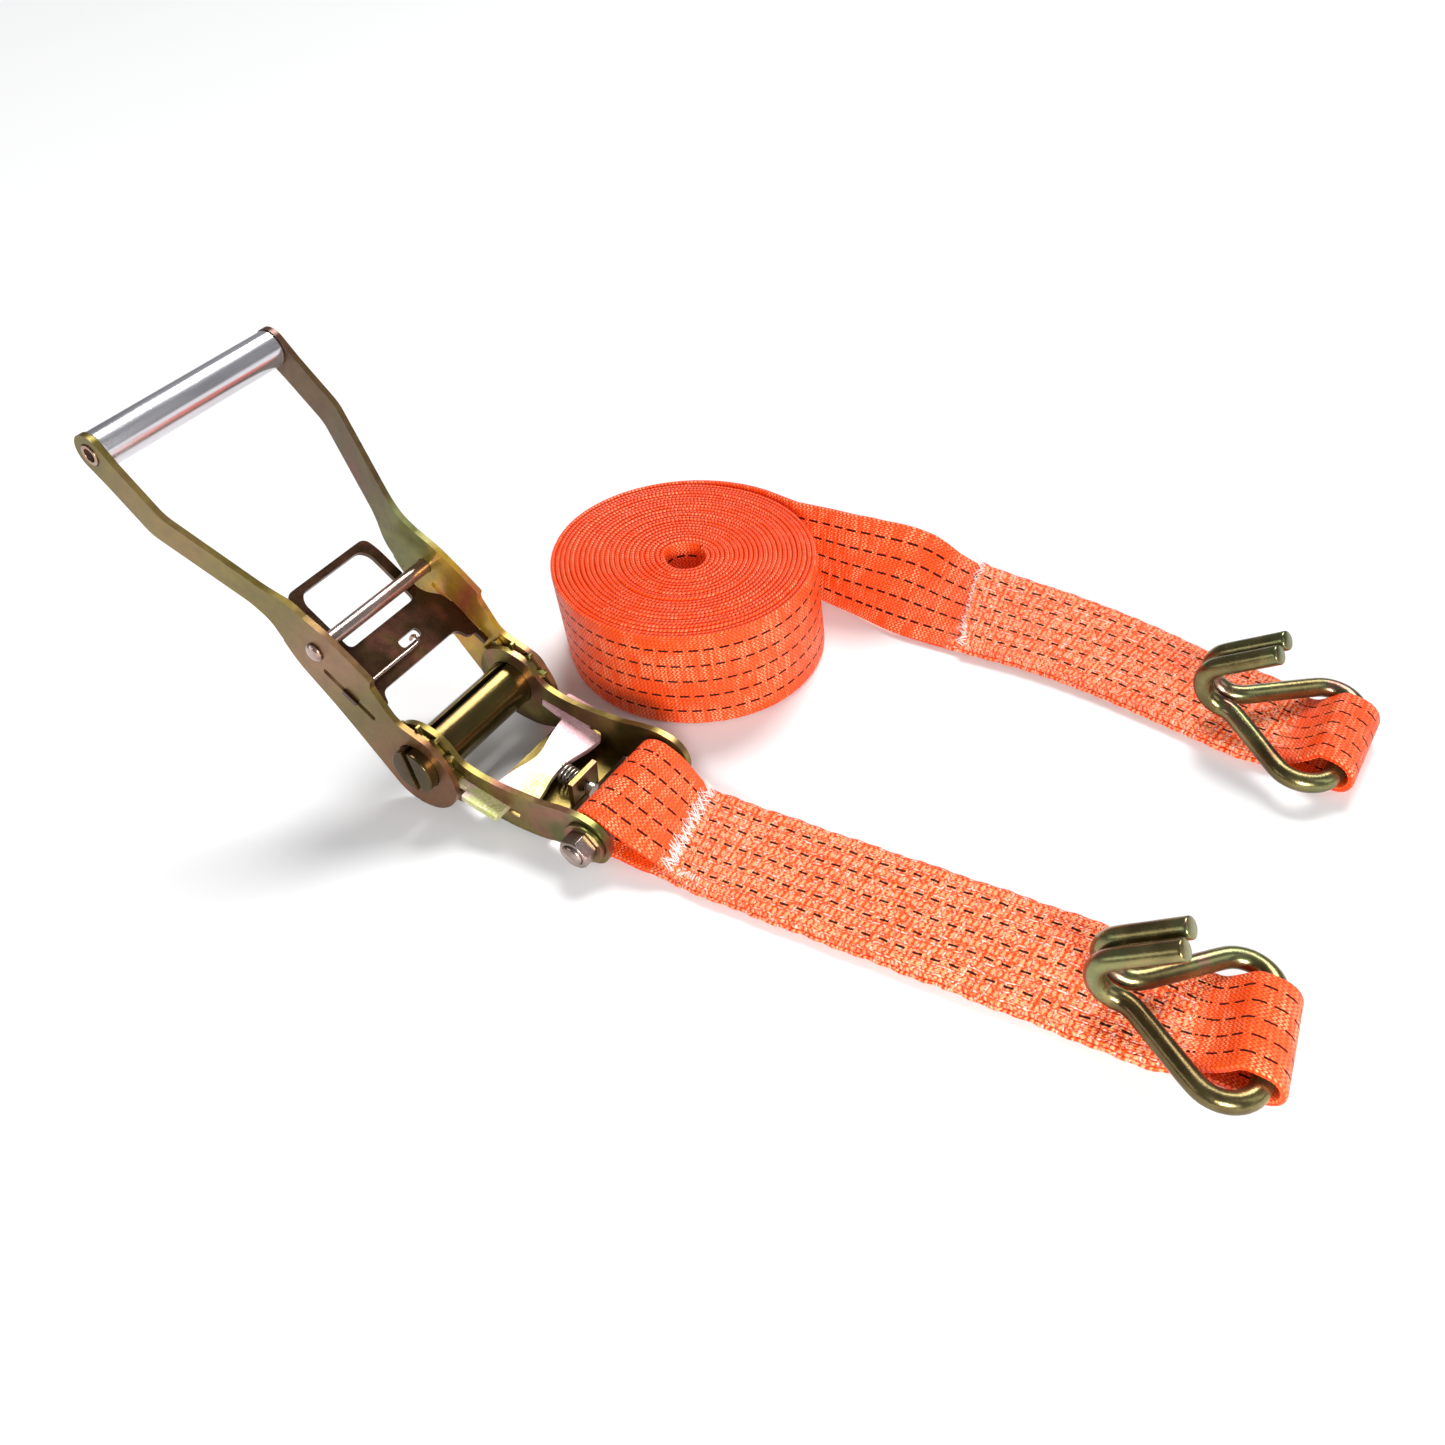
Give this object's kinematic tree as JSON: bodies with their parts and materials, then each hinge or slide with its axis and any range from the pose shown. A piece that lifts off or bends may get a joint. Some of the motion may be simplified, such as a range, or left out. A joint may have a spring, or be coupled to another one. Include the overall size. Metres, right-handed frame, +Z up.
{
  "type": "ratchet tie down",
  "caption": "Ratchet tie down with a pawl-lock handle and drum, a short webbing strap and a coiled long webbing strap, each ending in a double-claw wire hook.",
  "frame": {"origin": "centre of the footprint on the ground", "axes": "+X from the ratchet towards the hooks, +Y from the short strap towards the coiled strap, +Z up"},
  "size_m": [0.4842, 0.256, 0.1679],
  "materials": {
    "zinc_plate": "yellow zinc plated",
    "steel": "zinc plated",
    "hook_wire": "olive zinc plated",
    "grip": "bright drawn tube",
    "webbing": "woven polyester"
  },
  "bodies": {
    "frame": {"base_frame": "zinc_plate", "lock_spring": "steel", "lock_spring_pin": "steel", "frame_bolt": "steel", "bolt_nut": "steel", "bolt_washer_left": "steel", "bolt_washer_right": "steel", "bolt_spacer": "steel"},
    "drum": {"drum_half_rear": "zinc_plate", "drum_half_front": "zinc_plate", "ratchet_wheel_left": "zinc_plate", "ratchet_wheel_right": "zinc_plate"},
    "handle": {"handle_arm_left": "zinc_plate", "handle_arm_right": "zinc_plate", "grip_sleeve": "grip", "grip_core": "steel", "cross_pin": "steel"},
    "drive_pawl_set": {"drive_pawl": "zinc_plate", "drive_spring": "steel"},
    "lock_pawl_set": {"lock_pawl": "zinc_plate"},
    "short_strap_set": {"short_strap": "webbing"},
    "short_hook_set": {"short_hook": "hook_wire"},
    "long_strap_set": {"long_strap_coil": "webbing", "long_strap_tail": "webbing"},
    "long_hook_set": {"long_hook": "hook_wire"}
  },
  "joints": [
    {"name": "handle_swing", "type": "hinge", "parent": "frame", "child": "handle", "pos_m": [-0.11494, -0.07737, 0.0248], "axis": [0, 1, 0], "range_deg": [-30, 120]},
    {"name": "drum_spin", "type": "hinge", "parent": "frame", "child": "drum", "pos_m": [-0.11494, -0.07737, 0.0248], "axis": [0, 1, 0], "continuous": true},
    {"name": "drive_pawl_slide", "type": "slide", "parent": "handle", "child": "drive_pawl_set", "axis": [-0.7593, 0, 0.6508], "range_m": [-0.0045, 0.008], "stiffness_N_per_m": 400},
    {"name": "lock_pawl_slide", "type": "slide", "parent": "frame", "child": "lock_pawl_set", "axis": [0.9688, 0, -0.248], "range_m": [0, 0.005], "stiffness_N_per_m": 400, "springref_m": -0.005, "deforming": ["lock_spring"]},
    {"name": "short_strap_swing", "type": "hinge", "parent": "frame", "child": "short_strap_set", "pos_m": [-0.03054, -0.07737, 0.013], "axis": [0, 1, 0], "range_deg": [-60, 0]},
    {"name": "short_hook_swing", "type": "hinge", "parent": "short_strap_set", "child": "short_hook_set", "pos_m": [0.23046, -0.07087, 0.009], "axis": [-0.165, 0.9863, 0], "range_deg": [0, 170]},
    {"name": "long_strap_lift", "type": "slide", "parent": "frame", "child": "long_strap_set", "axis": [0, 0, 1], "range_m": [0, 0.15]},
    {"name": "long_hook_swing", "type": "hinge", "parent": "long_strap_set", "child": "long_hook_set", "pos_m": [0.21332, 0.07974, 0.009], "axis": [-0.0175, 0.9998, 0], "range_deg": [0, 170]}
  ]
}
